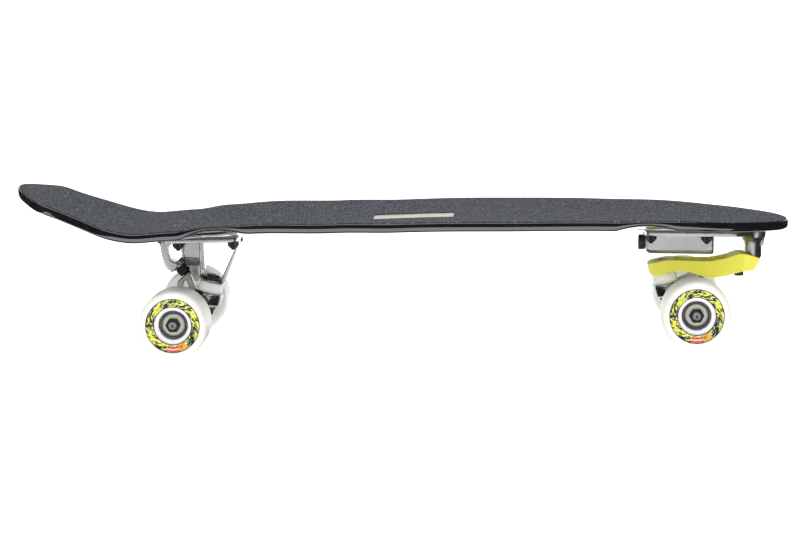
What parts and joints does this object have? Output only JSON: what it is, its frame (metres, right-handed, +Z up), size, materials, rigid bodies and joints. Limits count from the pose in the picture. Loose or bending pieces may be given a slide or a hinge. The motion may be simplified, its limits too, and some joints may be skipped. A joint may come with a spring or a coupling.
{
  "type": "surfskate",
  "caption": "Surfskate board: concave kick-tail deck on a spring-centred swing-arm front truck and a tall open rear truck, with off-white urethane wheels.",
  "frame": {"origin": "on the ground below the middle of the deck", "axes": "+X along the board to its nose, +Y to the rider's left, +Z up"},
  "size_m": [0.752, 0.2384, 0.1594],
  "materials": {
    "lacquered_maple": "black gloss lacquer over laminated maple",
    "grip": "dark grey gritty tape",
    "riser": "matt grey plastic",
    "cast_aluminium": "tumbled casting, soft sheen",
    "lime_arm": "smooth lime powder coat on a casting",
    "bronze": "sintered bronze, satin",
    "bright_steel": "ground bright",
    "spring_wire": "drawn spring wire",
    "black_steel": "black oxide",
    "bushing_urethane": "milky, slightly glossy urethane",
    "pivot_rubber": "matt black rubber",
    "wheel_urethane": "off-white satin urethane with a printed side",
    "core_plastic": "dark grey plastic",
    "bearing_shield": "pale beige shield"
  },
  "bodies": {
    "board": {"deck": "lacquered_maple", "grip_tape": "grip", "riser_pad_rear": "riser", "riser_pad_front": "riser", "rear_baseplate": "cast_aluminium", "front_baseplate": "cast_aluminium", "arm_bearing_upper": "bronze", "arm_bearing_lower": "bronze", "return_spring": "spring_wire", "deck_bolt_rear_1": "black_steel", "deck_bolt_rear_2": "black_steel", "deck_bolt_rear_3": "black_steel", "deck_bolt_rear_4": "black_steel", "deck_bolt_front_1": "black_steel", "deck_bolt_front_2": "black_steel", "deck_bolt_front_3": "black_steel", "deck_bolt_front_4": "black_steel", "rear_kingpin": "black_steel", "rear_kingpin_nut": "black_steel", "rear_washer_upper": "black_steel", "rear_washer_lower": "black_steel", "rear_bushing_upper": "bushing_urethane", "rear_bushing_lower": "bushing_urethane", "rear_pivot_cup": "pivot_rubber"},
    "plug": {"tension_plug": "black_steel"},
    "slider": {"spring_slider": "bright_steel"},
    "swing": {"swing_arm": "lime_arm", "swing_stop_bolt": "black_steel", "arm_pivot_shaft": "bright_steel", "front_kingpin": "black_steel", "front_kingpin_nut": "black_steel", "front_washer_lower": "black_steel", "front_bushing_upper": "bushing_urethane", "front_bushing_lower": "bushing_urethane", "front_pivot_cup": "pivot_rubber"},
    "front_rocker": {"front_hanger": "cast_aluminium", "front_axle": "bright_steel", "front_left_axle_nut": "black_steel", "front_right_axle_nut": "black_steel"},
    "rear_rocker": {"rear_hanger": "cast_aluminium", "rear_axle": "bright_steel", "rear_left_axle_nut": "black_steel", "rear_right_axle_nut": "black_steel"},
    "rear_left_wheel": {"rear_left_tyre": "wheel_urethane", "rear_left_core": "core_plastic", "rear_left_bearing_outer": "bearing_shield", "rear_left_bearing_inner": "bearing_shield"},
    "rear_right_wheel": {"rear_right_tyre": "wheel_urethane", "rear_right_core": "core_plastic", "rear_right_bearing_outer": "bearing_shield", "rear_right_bearing_inner": "bearing_shield"},
    "front_left_wheel": {"front_left_tyre": "wheel_urethane", "front_left_core": "core_plastic", "front_left_bearing_outer": "bearing_shield", "front_left_bearing_inner": "bearing_shield"},
    "front_right_wheel": {"front_right_tyre": "wheel_urethane", "front_right_core": "core_plastic", "front_right_bearing_outer": "bearing_shield", "front_right_bearing_inner": "bearing_shield"}
  },
  "joints": [
    {"name": "arm_swing", "type": "hinge", "parent": "board", "child": "swing", "pos_m": [0.33977, 0, 0.0305], "axis": [0.0332, 0, 0.9995], "range_deg": [-30, 30], "stiffness_Nm_per_rad": 2},
    {"name": "slider_travel", "type": "slide", "parent": "board", "child": "slider", "axis": [0.9995, 0, -0.0332], "range_m": [-0.0067, 0.0067], "deforming": ["return_spring"]},
    {"name": "plug_turn", "type": "hinge", "parent": "board", "child": "plug", "pos_m": [0.23691, 0, 0.09084], "axis": [0.9995, 0, -0.0332], "range_deg": [-180, 180]},
    {"name": "front_rock", "type": "hinge", "parent": "swing", "child": "front_rocker", "pos_m": [0.25779, 0, 0.04724], "axis": [0.9281, 0, 0.3724], "range_deg": [-10, 10], "stiffness_Nm_per_rad": 25, "deforming": ["front_bushing_upper", "front_bushing_lower", "front_pivot_cup"]},
    {"name": "rear_rock", "type": "hinge", "parent": "board", "child": "rear_rocker", "pos_m": [-0.19232, 0, 0.04652], "axis": [-0.6823, 0, 0.7311], "range_deg": [-12, 12], "stiffness_Nm_per_rad": 25, "deforming": ["rear_bushing_upper", "rear_bushing_lower", "rear_pivot_cup"]},
    {"name": "rear_left_wheel_spin", "type": "hinge", "parent": "rear_rocker", "child": "rear_left_wheel", "pos_m": [-0.2145, 0.0898, 0.0325], "axis": [0, 1, 0], "continuous": true},
    {"name": "rear_right_wheel_spin", "type": "hinge", "parent": "rear_rocker", "child": "rear_right_wheel", "pos_m": [-0.2145, -0.0898, 0.0325], "axis": [0, 1, 0], "continuous": true},
    {"name": "front_left_wheel_spin", "type": "hinge", "parent": "front_rocker", "child": "front_left_wheel", "pos_m": [0.2795, 0.0898, 0.0325], "axis": [0, 1, 0], "continuous": true},
    {"name": "front_right_wheel_spin", "type": "hinge", "parent": "front_rocker", "child": "front_right_wheel", "pos_m": [0.2795, -0.0898, 0.0325], "axis": [0, 1, 0], "continuous": true}
  ],
  "couplings": [
    {"joint": "slider_travel", "follows": "arm_swing", "m_per_rad": -0.012414}
  ]
}
